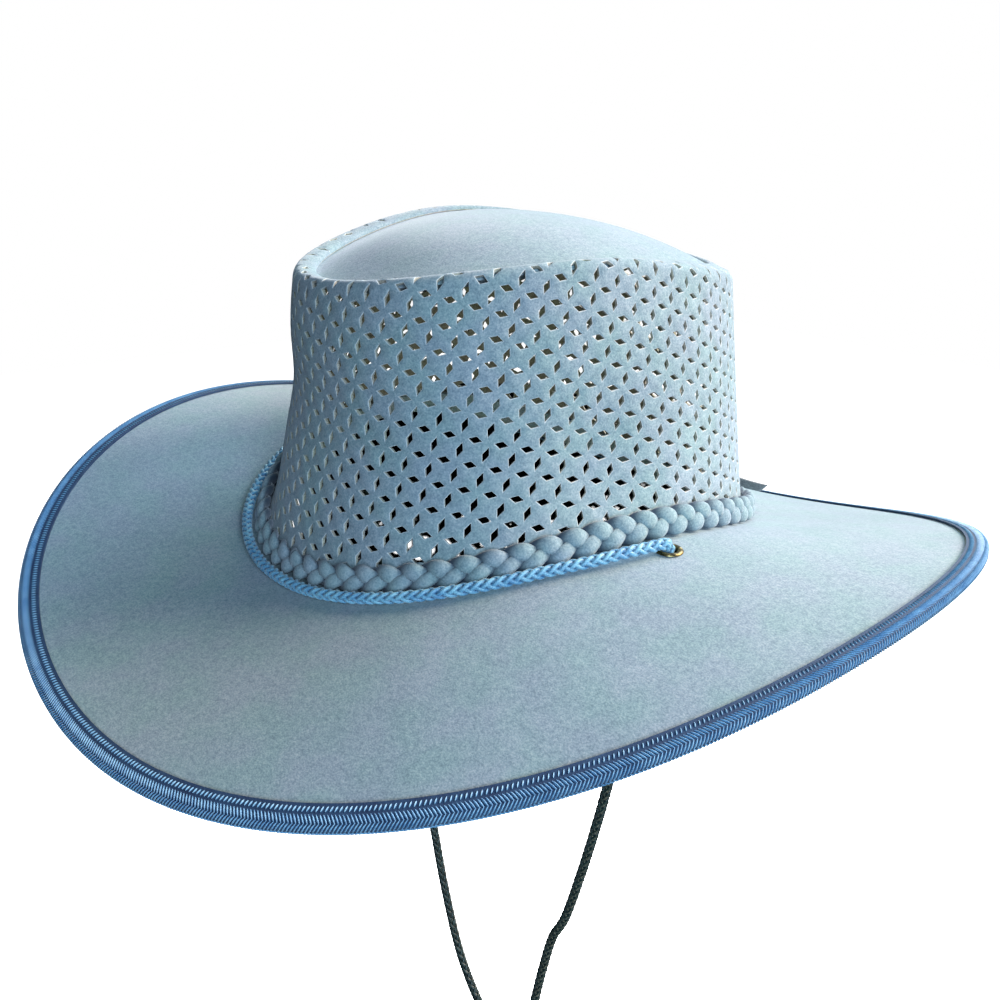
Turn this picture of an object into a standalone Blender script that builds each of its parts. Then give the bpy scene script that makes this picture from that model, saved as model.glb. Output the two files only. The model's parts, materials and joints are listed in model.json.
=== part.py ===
# A wide-brimmed safari hat of suede: a pierced crown wall, a plain arched crown top, a saddle-shaped
# brim with a bound edge, a plaited band, and a chin cord that runs through two brass eyelets.
# Metres, +Z up. The hat faces -Y and the wearer's left is +X. The origin is the middle of the head opening.
# Angles go round the hat from 0 at the front, through 90 at the wearer's left, to 180 at the back.
import math
from collections import namedtuple

import bmesh
import bpy
from mathutils import Matrix, Vector

for old_object in list(bpy.data.objects):
    bpy.data.objects.remove(old_object, do_unlink=True)

# Head opening, measured inside the brim's collar
HEAD_LENGTH = 0.190
HEAD_WIDTH = 0.178
HEAD_ROUNDNESS = 2.15

# Sheets and the clearance that neighbours keep
BRIM_THICKNESS = 0.0016
WALL_THICKNESS = 0.0015
TOP_THICKNESS = 0.0015
BINDING_THICKNESS = 0.0008
CLEARANCE = 0.0003

# Brim, measured outwards from the crown wall in plan
BRIM_FRONT = 0.0950
BRIM_BACK = 0.0905
BRIM_SIDE = 0.0935
BRIM_ROUNDNESS = 2.05
BRIM_CURL = 1.20
COLLAR_HEIGHT = 0.0085
COLLAR_BEND = 0.0006

# Crown
CROWN_HEIGHT = 0.1026
TOP_LENGTH = 0.1772
TOP_WIDTH = 0.1478
TOP_ROUNDNESS = 2.30
TOP_BACK_SHIFT = 0.0044
TOP_ARCH = 0.0162
FOLD_RADIUS = 0.0032
LIP_WIDTH = 0.0060
WALL_LIFT = 0.0008
FLARE = 0.30
FRONT_FLARE = 0.45

# Piercing: diamonds on a square lattice, upright at its corners and lying at its centres
HOLE_LENGTH = 0.0045
HOLE_WIDTH = 0.0021
LATTICE_PITCH = 0.00875
LATTICE_TURN = 13.0
LATTICE_STEP = 3
PIERCED_FROM = 0.19
PIERCED_TO = 0.87

# Edge binding
BINDING_WIDTH = 0.0078

# Plaited band
BAND_HEIGHT = 0.0115
BAND_DEPTH = 0.0050
BAND_LOBE = 0.0088
BAND_SCALLOP = 0.0010

# Loose end of the plaited band, at the back
TAIL_LENGTH = 0.0260
TAIL_WIDTH = 0.0050
TAIL_THICKNESS = 0.0020
TAIL_ANGLE = 160.0

# Cord and eyelets
CORD_DIAMETER = 0.0046
EYELET_ANGLE = 83.7
EYELET_OUTSET = 0.0042
EYELET_BORE = 0.0054
EYELET_FLANGE = 0.0092
EYELET_METAL = 0.0005
EYELET_DOME = 0.0007
CORD_DROP = 0.0060

# How finely the round pieces are faceted
STATIONS = 50
CORD_SIDES_RESOLUTION = 2

# Height round each line of the hat: its mean, how far its sides rise above its ends, how far that
# saddle is turned towards the wearer's left, and how far the left side hangs lower
Line = namedtuple("Line", "mean rise turn lean")
JUNCTION = Line(mean=0.0011, rise=0.0131, turn=-6.3, lean=0.0035)
EDGE = Line(mean=-0.0140, rise=0.0273, turn=15.4, lean=0.0058)
RIM = Line(mean=CROWN_HEIGHT, rise=0.0079, turn=-18.0, lean=0.0036)

# Soft dents in the crown wall: where each is, how far it spreads and its depth, as shares of the
# crown's height, with the spread round the hat in degrees
Dent = namedtuple("Dent", "angle height spread_round spread_up depth")
DENTS = [
    Dent(angle=-14.0, height=0.60, spread_round=30.0, spread_up=0.17, depth=0.028),
    Dent(angle=72.0, height=0.30, spread_round=14.0, spread_up=0.26, depth=0.030),
    Dent(angle=255.0, height=0.45, spread_round=20.0, spread_up=0.24, depth=0.025),
]

# The hanging cord's way round, from the left eyelet to the right one: how far across it lies, as a
# share of the eyelets' distance from the middle, and how far down, as a share of its whole drop
Hang = namedtuple("Hang", "across down")
CHIN_DROP = 0.2640
CHIN_WAY = [
    Hang(across=0.900, down=0.130),
    Hang(across=0.766, down=0.356),
    Hang(across=0.693, down=0.467),
    Hang(across=0.629, down=0.554),
    Hang(across=0.550, down=0.649),
    Hang(across=0.476, down=0.706),
    Hang(across=0.410, down=0.800),
    Hang(across=0.360, down=0.880),
    Hang(across=0.285, down=0.955),
    Hang(across=0.160, down=0.997),
    Hang(across=0.030, down=0.990),
    Hang(across=-0.095, down=0.946),
    Hang(across=-0.200, down=0.882),
    Hang(across=-0.304, down=0.776),
    Hang(across=-0.372, down=0.687),
    Hang(across=-0.550, down=0.455),
    Hang(across=-0.735, down=0.240),
    Hang(across=-0.900, down=0.060),
]

# Places that follow from the sizes above, as offsets outwards from the head opening
COLLAR_OUT = BRIM_THICKNESS
WALL_IN = COLLAR_OUT + CLEARANCE
WALL_OUT = WALL_IN + WALL_THICKNESS
CORD_RADIUS = CORD_DIAMETER / 2
EDGE_INSET = BINDING_THICKNESS + CLEARANCE


def oval(angle, front, back, side, roundness):
    """The plan point of an oval at an angle in degrees from the front."""
    c, s = math.cos(math.radians(angle)), math.sin(math.radians(angle))
    length = front if c > 0 else back
    reach = (abs(c / length) ** roundness + abs(s / side) ** roundness) ** (-1 / roundness)
    return Vector((reach * s, -reach * c, 0))


def head_oval(angle, outset):
    """The head opening's line, moved outwards."""
    length, side = HEAD_LENGTH / 2 + outset, HEAD_WIDTH / 2 + outset
    return oval(angle, length, length, side, HEAD_ROUNDNESS)


def height(line, angle):
    """The height of one of the hat's lines at an angle."""
    saddle = -line.rise * math.cos(math.radians(2 * (angle - line.turn)))
    return line.mean + saddle - line.lean * math.sin(math.radians(angle))


def brim_point(angle, reach):
    """The brim's upper face, from the crown wall at reach 0 to the bare edge at reach 1."""
    start = head_oval(angle, WALL_OUT)
    side = HEAD_WIDTH / 2 + WALL_OUT + BRIM_SIDE
    length = HEAD_LENGTH / 2 + WALL_OUT
    end = oval(angle, length + BRIM_FRONT, length + BRIM_BACK, side, BRIM_ROUNDNESS)
    point = start.lerp(end, reach)
    low, high = height(JUNCTION, angle), height(EDGE, angle)
    point.z = low + (high - low) * max(reach, 0.0) ** BRIM_CURL
    return point


def brim_width(angle):
    """The brim's width in plan at an angle."""
    return (brim_point(angle, 1) - brim_point(angle, 0)).to_2d().length


def brim_frame(angle, reach):
    """A point on the brim's upper face, with the directions round, outwards and up from it."""
    step = 0.01
    here = brim_point(angle, reach)
    outwards = (brim_point(angle, reach + step) - here).normalized()
    round_it = (brim_point(angle + 1, reach) - brim_point(angle - 1, reach)).normalized()
    up = round_it.cross(-outwards).normalized()
    return here, round_it, outwards, up


def flare(angle):
    """How far the wall sweeps in below its middle, most of all at the front."""
    return FLARE + FRONT_FLARE * math.cos(math.radians(angle))


def rim_oval(angle, inset):
    """The crown's top line in plan, moved inwards."""
    length, side = TOP_LENGTH / 2 - inset, TOP_WIDTH / 2 - inset
    point = oval(angle, length, length, side, TOP_ROUNDNESS)
    point.y += TOP_BACK_SHIFT
    return point


def top_height(angle, share):
    """The height of the crown's top, from its middle at share 0 to the rim at share 1."""
    middle = RIM.mean + TOP_ARCH
    return middle + (height(RIM, angle) - middle) * share ** 2


def dent(angle, share):
    """How far the wall is pushed in at a point."""
    total = 0.0
    for d in DENTS:
        turn = (angle - d.angle + 180) % 360 - 180
        away = (turn / d.spread_round) ** 2 + ((share - d.height) / d.spread_up) ** 2
        total += d.depth * CROWN_HEIGHT * math.exp(-away)
    return total * min(1.0, max(share, 0.0) / 0.15)


def wall_point(angle, share):
    """The crown wall's outer face, from its foot at share 0 to where the fold starts at share 1."""
    foot = head_oval(angle, WALL_OUT)
    head = rim_oval(angle, 0)
    sweep = share + flare(angle) * 2 * share * (1 - share) ** 2
    point = foot.lerp(head, sweep)
    outwards = Vector((math.sin(math.radians(angle)), -math.cos(math.radians(angle)), 0))
    point -= outwards * dent(angle, share)
    low = height(JUNCTION, angle) + WALL_LIFT
    high = top_height(angle, 1) - FOLD_RADIUS
    point.z = low + (high - low) * share
    return point


def wall_normal(angle, share):
    """The direction straight out of the crown wall."""
    across = wall_point(angle + 1, share) - wall_point(angle - 1, share)
    upwards = wall_point(angle, share + 0.01) - wall_point(angle, share - 0.01)
    return across.cross(upwards).normalized()


def inside_wall(angle, share):
    """A point that clears the crown wall's inner face."""
    return wall_point(angle, share) - wall_normal(angle, share) * (WALL_THICKNESS + CLEARANCE)


def material(name, colour, roughness, metallic=0.0):
    """A plain finish."""
    made = bpy.data.materials.new(name)
    made.use_nodes = True
    shader = made.node_tree.nodes["Principled BSDF"]
    shader.inputs["Base Color"].default_value = (*colour, 1)
    shader.inputs["Roughness"].default_value = roughness
    shader.inputs["Metallic"].default_value = metallic
    return made


def collection(name):
    """A new collection in the scene."""
    made = bpy.data.collections.new(name)
    bpy.context.scene.collection.children.link(made)
    return made


hat = collection("safari_hat")
cutters = collection("cutters")


def add(name, mesh, finish, into=hat):
    """An object with a mesh and a finish, in a collection."""
    made = bpy.data.objects.new(name, mesh)
    if finish:
        mesh.materials.append(finish)
    into.objects.link(made)
    return made


def ring_sheet(name, rows, place, finish, stations=STATIONS):
    """A sheet that goes all the way round the hat: a grid whose columns are angles, with each row put
    in place by a function. Rows run so that the sheet's good side faces out or up."""
    bm = bmesh.new()
    bmesh.ops.create_grid(bm, x_segments=stations, y_segments=rows - 1, size=1)
    for v in bm.verts:
        column = round((v.co.x + 1) / 2 * stations)
        row = round((v.co.y + 1) / 2 * (rows - 1))
        v.co = place(column * 360 / stations, row)
    bmesh.ops.remove_doubles(bm, verts=bm.verts, dist=0.00001)
    mesh = bpy.data.meshes.new(name)
    bm.to_mesh(mesh)
    bm.free()
    mesh.shade_smooth()
    return add(name, mesh, finish)


def thicken(thing, thickness):
    """Gives a sheet its thickness, behind its good side."""
    wall = thing.modifiers.new("thickness", "SOLIDIFY")
    wall.thickness = thickness
    wall.offset = -1
    wall.use_even_offset = True


def cut(thing, cutter):
    """Takes a cutter's shape out of a piece."""
    cutter.hide_render = True
    cutter.display_type = "WIRE"
    hole = thing.modifiers.new("cut " + cutter.name, "BOOLEAN")
    hole.operation = "DIFFERENCE"
    hole.solver = "EXACT"
    hole.object = cutter


def eyelet_place(side):
    """Where an eyelet sits on the brim: its point on the upper face and a matrix with Z along the bore."""
    angle = side * EYELET_ANGLE
    outset = BAND_DEPTH + 2 * CLEARANCE + CORD_RADIUS + EYELET_OUTSET
    here, round_it, outwards, up = brim_frame(angle, outset / brim_width(angle))
    turn = Matrix((outwards, up.cross(outwards), up)).transposed().to_4x4()
    return here, Matrix.Translation(here) @ turn


def make_brim(finish):
    """The brim, and the collar that turns up inside the crown wall."""
    reaches = [1.0, 0.86, 0.56, 0.28, 0.13, 0.0]

    def place(angle, row):
        if row < len(reaches):
            edge = reaches[row] - EDGE_INSET / brim_width(angle) * (row == 0)
            return brim_point(angle, edge)
        if row == len(reaches):
            point = head_oval(angle, COLLAR_OUT + COLLAR_BEND)
            point.z = height(JUNCTION, angle) + COLLAR_BEND * 0.2
            return point
        share = 0.0 if row == len(reaches) + 1 else COLLAR_HEIGHT / CROWN_HEIGHT
        return inside_wall(angle, share)

    brim = ring_sheet("brim", len(reaches) + 3, place, finish)
    thicken(brim, BRIM_THICKNESS)
    for side in (1, -1):
        bm = bmesh.new()
        hole_radius = EYELET_BORE / 2 + EYELET_METAL + CLEARANCE
        bmesh.ops.create_cone(
            bm, cap_ends=True, segments=16, radius1=hole_radius, radius2=hole_radius, depth=BRIM_THICKNESS * 4
        )
        bmesh.ops.transform(bm, matrix=eyelet_place(side)[1], verts=bm.verts)
        mesh = bpy.data.meshes.new("eyelet hole")
        bm.to_mesh(mesh)
        bm.free()
        cut(brim, add(f"eyelet_hole_{side}", mesh, None, cutters))
    return brim


def make_binding(finish):
    """The braid-woven binding folded over the brim's edge: a channel that opens inwards."""
    shell = BINDING_THICKNESS + CLEARANCE
    under = -BRIM_THICKNESS - shell

    rows = [
        (BINDING_WIDTH, under),
        (shell * 0.5, under),
        (0.0, under + shell * 0.6),
        (0.0, shell * 0.4),
        (shell * 0.5, shell),
        (BINDING_WIDTH, shell),
    ]

    def place(angle, row):
        inset, rise = rows[row]
        here, round_it, outwards, up = brim_frame(angle, 1 - inset / brim_width(angle))
        return here + up * rise

    binding = ring_sheet("brim_binding", len(rows), place, finish)
    thicken(binding, BINDING_THICKNESS)
    return binding


def lattice():
    """The places of the pierced diamonds that are cut here, as (round the hat, up the wall, turned)."""
    girth = wall_girth()
    turn = math.radians(LATTICE_TURN)
    pitch = LATTICE_PITCH * LATTICE_STEP
    reach = round(girth / pitch) + 4
    for i in range(-reach, reach):
        for j in range(-reach, reach):
            for upright in (True, False):
                a = (i + (0 if upright else 0.5)) * pitch
                b = (j + (0 if upright else 0.5)) * pitch
                u = a * math.cos(turn) + b * math.sin(turn)
                v = -a * math.sin(turn) + b * math.cos(turn)
                if -girth / 2 + HOLE_LENGTH < u < girth / 2 - HOLE_LENGTH:
                    yield u, v, upright


def wall_girth():
    """The length round the crown wall at its middle."""
    return arc_table()[-1]


def arc_table():
    """How far round the wall's middle each whole degree lies from the front."""
    lengths = [0.0]
    for degree in range(360):
        step = head_oval(degree + 1, WALL_OUT) + rim_oval(degree + 1, 0)
        step -= head_oval(degree, WALL_OUT) + rim_oval(degree, 0)
        lengths.append(lengths[-1] + step.length / 2)
    return lengths


def angle_at(distance, table):
    """The angle that lies a distance round the wall from the front."""
    distance %= table[-1]
    degree = max(d for d in range(360) if table[d] <= distance)
    return degree + (distance - table[degree]) / (table[degree + 1] - table[degree])


def make_crown_wall(finish):
    """The pierced wall: it rises from the brim, folds over at the rim and ends in a lip on the top."""
    shares = [0.0, 0.12, 0.28, 0.48, 0.72, 1.0]
    folds = [45, 90]

    def place(angle, row):
        if row < len(shares):
            return wall_point(angle, shares[row])
        row -= len(shares)
        if row < len(folds):
            turn = math.radians(folds[row])
            point = rim_oval(angle, FOLD_RADIUS * (1 - math.cos(turn)))
            point.z = wall_point(angle, 1).z + FOLD_RADIUS * math.sin(turn)
            point.z += (lip_height(angle, FOLD_RADIUS) - height(RIM, angle)) * math.sin(turn)
            return point
        point = rim_oval(angle, FOLD_RADIUS + LIP_WIDTH)
        point.z = lip_height(angle, FOLD_RADIUS + LIP_WIDTH)
        return point

    wall = ring_sheet("crown_wall", len(shares) + len(folds) + 1, place, finish)
    thicken(wall, WALL_THICKNESS)

    table = arc_table()
    bm = bmesh.new()
    count = 0
    for u, v, upright in lattice():
        share = v / CROWN_HEIGHT + 0.5
        if not PIERCED_FROM < share < PIERCED_TO:
            continue
        count += 1
        angle = angle_at(u, table)
        here, out = wall_point(angle, share), wall_normal(angle, share)
        across = (wall_point(angle + 1, share) - wall_point(angle - 1, share)).normalized()
        frame = Matrix((across, out.cross(across), out)).transposed().to_4x4()
        lean = math.radians(-LATTICE_TURN + (90 if upright else 0))
        size = Matrix.Diagonal((HOLE_LENGTH / 2, HOLE_WIDTH / 2, 1, 1))
        made = bmesh.ops.create_cone(
            bm, cap_ends=True, segments=4, radius1=1, radius2=1, depth=WALL_THICKNESS * 4
        )
        where = Matrix.Translation(here) @ frame @ Matrix.Rotation(lean, 4, "Z") @ size
        bmesh.ops.transform(bm, matrix=where, verts=made["verts"])
    mesh = bpy.data.meshes.new("piercing")
    bm.to_mesh(mesh)
    bm.free()
    print("holes", count)
    cut(wall, add("piercing", mesh, None, cutters))
    return wall


def lip_height(angle, inset):
    """The height of the lip's upper face at an inset from the rim."""
    rim, point = rim_oval(angle, 0), rim_oval(angle, inset)
    middle = Vector((0, TOP_BACK_SHIFT, 0))
    return top_height(angle, (point - middle).length / (rim - middle).length)


def make_crown_top(finish):
    """The plain arched panel, sewn under the wall's lip."""
    edge = FOLD_RADIUS + CLEARANCE * 2
    shares = [1.0, 0.9, 0.65, 0.33, 0.0]

    def place(angle, row):
        middle = Vector((0, TOP_BACK_SHIFT, 0))
        point = middle.lerp(rim_oval(angle, edge), shares[row])
        whole = (rim_oval(angle, edge) - middle).length / (rim_oval(angle, 0) - middle).length
        point.z = top_height(angle, shares[row] * whole) - WALL_THICKNESS - CLEARANCE
        return point

    top = ring_sheet("crown_top", len(shares), place, finish)
    thicken(top, TOP_THICKNESS)
    return top


def band_point(angle, up, out):
    """A point beside the wall's foot: a height above the brim and a distance out from the wall."""
    outset = max(out, 0.0) / brim_width(angle)
    base = brim_point(angle, outset).z + CLEARANCE + up
    low, high = wall_point(angle, 0).z, wall_point(angle, 1).z
    share = max(0.0, (base - low) / (high - low))
    point = wall_point(angle, share)
    normal = wall_normal(angle, max(share, 0.02))
    normal.z = 0
    point += normal.normalized() * (CLEARANCE + out)
    point.z = base
    return point


def make_band(finish):
    """The plaited band as one ring, its upper and lower edges scalloped by the plait's lobes."""
    girth = wall_girth()
    lobes = round(girth / BAND_LOBE)
    stations = 2 * lobes
    section = [(0.0, 0.25), (0.0, 0.75), (0.45, 1.0), (1.0, 0.72), (1.0, 0.28), (0.45, 0.0)]

    def place(angle, row):
        out, up = section[row % len(section)]
        lobe_up = round(angle * stations / 360) % 2 == 0
        scallop = BAND_SCALLOP if (up > 0.5) == lobe_up else 0
        height_here = up * BAND_HEIGHT + (scallop if up < 0.5 else -scallop)
        depth_here = out * (BAND_DEPTH - scallop)
        return band_point(angle, height_here, depth_here)

    return ring_sheet("plaited_band", len(section) + 1, lambda a, r: place(a, len(section) - r), finish, stations)


def make_tail(finish):
    """The plait's loose end, a flat thong cut off aslant."""
    out = BAND_DEPTH + CLEARANCE + TAIL_THICKNESS / 2
    root = band_point(TAIL_ANGLE, BAND_HEIGHT * 0.75, out)
    normal = wall_normal(TAIL_ANGLE, 0.1)
    normal.z = 0
    normal.normalize()
    along = Vector((-normal.y, normal.x, 0)) * -1
    bm = bmesh.new()
    bmesh.ops.create_cube(bm, size=1)
    bmesh.ops.subdivide_edges(
        bm, edges=[e for e in bm.edges if abs((e.verts[0].co - e.verts[1].co).x) > 0.5], cuts=4
    )
    for v in bm.verts:
        share = v.co.x + 0.5
        bend = TAIL_LENGTH * 0.42 * share ** 2
        slant = TAIL_WIDTH * 0.9 * (v.co.z - 0.5) * share
        point = root + along * (TAIL_LENGTH * share + slant)
        point += normal * (v.co.y * TAIL_THICKNESS + bend)
        point.z += v.co.z * TAIL_WIDTH * (1 - 0.3 * share) + TAIL_LENGTH * 0.02 * share
        v.co = point
    bmesh.ops.recalc_face_normals(bm, faces=bm.faces)
    mesh = bpy.data.meshes.new("band_tail")
    bm.to_mesh(mesh)
    bm.free()
    return add("band_tail", mesh, finish)


def make_eyelet(side, finish):
    """A brass eyelet: a barrel through the brim with a flange on each face, turned about its bore."""
    inner, outer = EYELET_BORE / 2, EYELET_FLANGE / 2
    seat = BRIM_THICKNESS / 2 + 1.5 * CLEARANCE
    crest = seat + EYELET_DOME
    half = [
        (inner, seat + EYELET_DOME * 0.4),
        (inner + EYELET_DOME * 0.6, crest),
        (outer - EYELET_DOME * 0.8, crest),
        (outer, seat + EYELET_DOME * 0.5),
        (outer, seat),
        (inner + EYELET_METAL, seat),
    ]
    profile = half + [(r, -z) for r, z in reversed(half)]
    bm = bmesh.new()
    ring = [bm.verts.new((r, 0, z)) for r, z in profile]
    for a, b in zip(ring, ring[1:] + ring[:1]):
        bm.edges.new((a, b))
    mesh = bpy.data.meshes.new("eyelet")
    bm.to_mesh(mesh)
    bm.free()
    name = "eyelet_left" if side > 0 else "eyelet_right"
    eyelet = add(name, mesh, finish)
    turned = eyelet.modifiers.new("turned", "SCREW")
    turned.axis = "Z"
    turned.steps = turned.render_steps = 12
    turned.use_merge_vertices = True
    turned.merge_threshold = 0.00001
    turned.use_normal_calculate = True
    eyelet.matrix_world = eyelet_place(side)[1] @ Matrix.Translation((0, 0, -BRIM_THICKNESS / 2))
    return eyelet


def tube(name, points, finish):
    """A cord along a route."""
    curve = bpy.data.curves.new(name, "CURVE")
    curve.dimensions = "3D"
    spline = curve.splines.new("POLY")
    spline.points.add(len(points) - 1)
    for slot, point in zip(spline.points, points):
        slot.co = (*point, 1)
    curve.bevel_depth = CORD_RADIUS
    curve.bevel_resolution = CORD_SIDES_RESOLUTION
    curve.use_fill_caps = True
    made = bpy.data.objects.new(name, curve)
    curve.materials.append(finish)
    hat.objects.link(made)
    return made


def front_cord_route():
    """The cord's stretch over the brim: up through the right eyelet, round the front against the
    plaited band, and down through the left eyelet."""
    rest = CORD_RADIUS + CLEARANCE * 1.5
    over = BRIM_THICKNESS / 2 + CORD_RADIUS + EYELET_DOME + CLEARANCE * 2
    beside = BAND_DEPTH + CLEARANCE + CORD_RADIUS + CLEARANCE
    side_points = []
    for side in (-1, 1):
        here, frame = eyelet_place(side)
        up = frame.to_3x3() @ Vector((0, 0, 1))
        angle = side * EYELET_ANGLE
        forwards = (brim_frame(angle, 0.1)[1] * -side).normalized()
        forwards = (forwards - up * forwards.dot(up)).normalized()
        points = [here - up * CORD_DROP, here - up * CORD_DROP * 0.5]
        for degrees in (0, 25, 50, 75):
            turn = math.radians(degrees)
            points.append(here + forwards * over * (1 - math.cos(turn)) + up * over * math.sin(turn))
        side_points.append(points)
    start, end = side_points
    middle = []
    first = EYELET_ANGLE - 10
    count = 26
    for i in range(count + 1):
        angle = -first + 2 * first * i / count
        blend = max(0.0, (abs(angle) - first + 14) / 14)
        lift = rest + (over - rest) * blend ** 2
        outset = beside + (EYELET_OUTSET - CLEARANCE) * blend * 0.75
        here, round_it, outwards, up = brim_frame(angle, outset / brim_width(angle))
        middle.append(here + up * lift)
    return start + middle + end[::-1]


def smooth_route(points, count):
    """Points along one smooth curve through a route's own points."""
    def at(k):
        return points[min(max(k, 0), len(points) - 1)]

    spans = len(points) - 1
    route = []
    for i in range(count + 1):
        t = i / count * spans
        k = min(int(t), spans - 1)
        f = t - k
        p0, p1, p2, p3 = at(k - 1), at(k), at(k + 1), at(k + 2)
        route.append(
            0.5 * (2 * p1 + (p2 - p0) * f + (2 * p0 - 5 * p1 + 4 * p2 - p3) * f ** 2
                   + (3 * p1 - p0 - 3 * p2 + p3) * f ** 3)
        )
    return route


def chin_cord_route():
    """The hanging loop: down from the left eyelet, under the chin and up to the right eyelet."""
    ends = []
    for side in (1, -1):
        here, frame = eyelet_place(side)
        up = frame.to_3x3() @ Vector((0, 0, 1))
        end = here - up * (CORD_DROP + CLEARANCE)
        ends.append([end, end - up * CORD_DIAMETER])
    left, right = ends
    reach = (left[0].x - right[0].x) / 2
    plane = (left[0].y + right[0].y) / 2
    way = [Vector((reach * p.across, plane, -CHIN_DROP * p.down)) for p in CHIN_WAY]
    return left[:1] + smooth_route(left[1:] + way + right[1:], 42) + right[:1]


suede = material("blue suede", (0.30, 0.42, 0.58), 0.9)
plain_suede = material("pale suede", (0.42, 0.52, 0.64), 0.9)
ribbon = material("blue binding", (0.14, 0.33, 0.58), 0.7)
brass = material("aged brass", (0.35, 0.28, 0.12), 0.4, 1.0)
bright_cord = material("bright blue cord", (0.14, 0.40, 0.62), 0.6)
dark_cord = material("dark cord", (0.03, 0.07, 0.06), 0.7)

make_brim(suede)
make_binding(ribbon)
make_crown_wall(suede)
make_crown_top(plain_suede)
make_band(plain_suede)
make_tail(suede)
make_eyelet(1, brass)
make_eyelet(-1, brass)
tube("front_cord", front_cord_route(), bright_cord)
tube("chin_cord", chin_cord_route(), dark_cord)
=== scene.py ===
import json
from math import atan2, cos, exp, hypot, pi, radians, sin, tau

import bmesh
import bpy
import numpy as np
from mathutils import Matrix, Vector

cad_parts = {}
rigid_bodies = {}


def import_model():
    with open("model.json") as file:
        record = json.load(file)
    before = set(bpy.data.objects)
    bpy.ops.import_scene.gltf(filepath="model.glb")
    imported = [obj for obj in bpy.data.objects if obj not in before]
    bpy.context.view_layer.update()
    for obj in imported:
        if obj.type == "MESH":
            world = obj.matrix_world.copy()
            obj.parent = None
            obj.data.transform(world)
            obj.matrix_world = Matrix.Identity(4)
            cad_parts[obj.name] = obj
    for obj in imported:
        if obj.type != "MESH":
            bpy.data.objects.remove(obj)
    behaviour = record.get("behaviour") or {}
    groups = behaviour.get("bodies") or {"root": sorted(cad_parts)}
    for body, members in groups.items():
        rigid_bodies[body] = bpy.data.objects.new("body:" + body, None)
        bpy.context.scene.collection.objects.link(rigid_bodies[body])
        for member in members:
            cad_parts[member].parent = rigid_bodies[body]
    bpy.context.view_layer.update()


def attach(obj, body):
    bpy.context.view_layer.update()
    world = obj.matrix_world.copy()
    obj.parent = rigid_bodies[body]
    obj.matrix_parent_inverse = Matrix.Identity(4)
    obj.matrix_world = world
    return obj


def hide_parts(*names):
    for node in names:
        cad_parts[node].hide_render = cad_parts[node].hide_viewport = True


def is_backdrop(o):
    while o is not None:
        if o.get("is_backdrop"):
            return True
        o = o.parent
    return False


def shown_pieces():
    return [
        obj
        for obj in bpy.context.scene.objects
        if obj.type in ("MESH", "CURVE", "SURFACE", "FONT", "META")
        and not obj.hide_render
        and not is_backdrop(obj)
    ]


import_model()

print("safari hat: frame loaded")

# Sizes in metres. The hat faces -Y, angles go round it from 0 at the front through 90 at the wearer's left
head = {"length": 0.190, "width": 0.178, "roundness": 2.15}
sheets = {"brim": 0.0016, "wall": 0.0015, "top": 0.0015, "binding": 0.0008, "clearance": 0.0003}
brimSizes = {"front": 0.0950, "back": 0.0905, "side": 0.0935, "roundness": 2.05, "curl": 1.20}
crownSizes = {
    "height": 0.1026, "topLength": 0.1772, "topWidth": 0.1478, "roundness": 2.30, "backShift": 0.0044,
    "arch": 0.0162, "foldRadius": 0.0032, "lipWidth": 0.0060, "lift": 0.0008, "flare": 0.30, "frontFlare": 0.45,
    "lipFall": 0.0048, "lipTurn": 8, "topRise": 0.0220,
}
# Heights round the hat: mean, how far the sides rise, where that saddle turns to, how far the left hangs
junctionLine = (0.0011, 0.0131, -6.3, 0.0035)
edgeLine = (-0.0140, 0.0273, 15.4, 0.0058)
rimLine = (crownSizes["height"] - 0.0012, 0.0079, -18.0, 0.0042)
# Dents in the wall: angle, height, spread round, spread up, depth
dents = [(-14, 0.60, 30, 0.17, 0.028), (72, 0.30, 14, 0.26, 0.030), (255, 0.45, 20, 0.24, 0.025)]

wallOut = sheets["brim"] + sheets["clearance"] + sheets["wall"]
clearance = sheets["clearance"]


def oval(angle, front, back, side, roundness):
    c, s = cos(radians(angle)), sin(radians(angle))
    length = front if c > 0 else back
    reach = (abs(c / length) ** roundness + abs(s / side) ** roundness) ** (-1 / roundness)
    return Vector((reach * s, -reach * c, 0))


def headOval(angle, outset):
    length, side = head["length"] / 2 + outset, head["width"] / 2 + outset
    return oval(angle, length, length, side, head["roundness"])


def lineHeight(line, angle):
    mean, rise, turn, lean = line
    return mean - rise * cos(radians(2 * (angle - turn))) - lean * sin(radians(angle))


def brimEnds(angle):
    length, side = head["length"] / 2 + wallOut, head["width"] / 2 + wallOut
    edge = oval(angle, length + brimSizes["front"], length + brimSizes["back"], side + brimSizes["side"],
                brimSizes["roundness"])
    return headOval(angle, wallOut), edge


def brimPoint(angle, reach):  # upper face: reach 0 at the wall, 1 at the bare edge
    start, edge = brimEnds(angle)
    point = start.lerp(edge, reach)
    low, high = lineHeight(junctionLine, angle), lineHeight(edgeLine, angle)
    point.z = low + (high - low) * max(reach, 0) ** brimSizes["curl"]
    return point


def brimWidth(angle):
    start, edge = brimEnds(angle)
    return (edge - start).length


def brimFrame(angle, reach):  # point, direction round, outwards, up
    here = brimPoint(angle, reach)
    outwards = (brimPoint(angle, reach + 0.01) - here).normalized()
    around = (brimPoint(angle + 1, reach) - brimPoint(angle - 1, reach)).normalized()
    return here, around, outwards, around.cross(-outwards).normalized()


def rimOval(angle, inset):
    length, side = crownSizes["topLength"] / 2 - inset, crownSizes["topWidth"] / 2 - inset
    point = oval(angle, length, length, side, crownSizes["roundness"])
    point.y += crownSizes["backShift"]
    return point


def topHeight(angle, share):  # share 0 in the middle of the crown's top, 1 at the rim
    middle = rimLine[0] + crownSizes["arch"]
    return middle + (lineHeight(rimLine, angle) - middle) * share ** 2


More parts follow.
